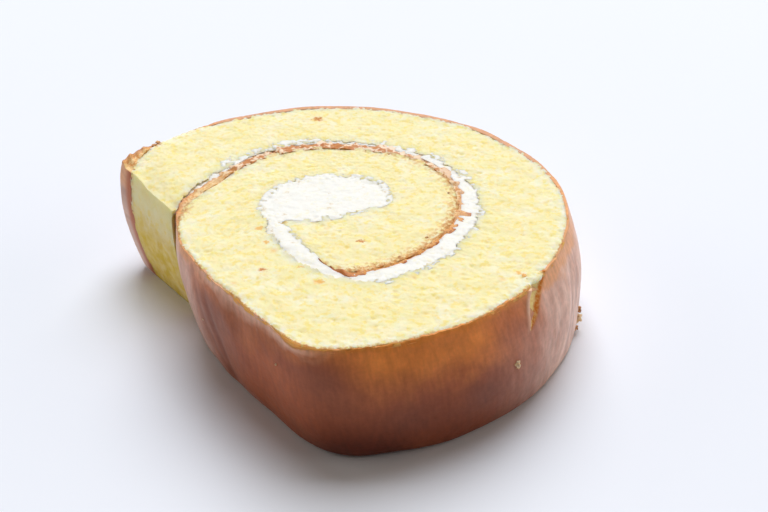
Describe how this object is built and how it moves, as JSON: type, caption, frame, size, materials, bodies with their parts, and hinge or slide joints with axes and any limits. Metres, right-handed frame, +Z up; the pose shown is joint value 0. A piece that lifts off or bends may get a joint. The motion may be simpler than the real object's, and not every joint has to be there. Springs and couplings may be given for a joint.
{
  "type": "roll cake slice",
  "caption": "Slice of rolled sponge cake on its cut face: browned spiral sheet with an open flap, cream between the turns and a pocket of cream at the middle.",
  "frame": {"origin": "on the resting cut face, under the middle of the slice's bounding box", "axes": "+Z up along the roll's axis, -X towards the open flap, -Y towards the flattened wall where the roll bulges most"},
  "size_m": [0.0983, 0.093, 0.0266],
  "materials": {
    "sponge": "pale yellow sponge crumb, matt and porous",
    "browned_skin": "baked skin, red brown with a soft satin sheen, darker in patches",
    "cream": "whipped cream, off white, soft and slightly airy"
  },
  "bodies": {
    "root": {"sponge": "sponge", "cream": "cream"}
  },
  "joints": []
}
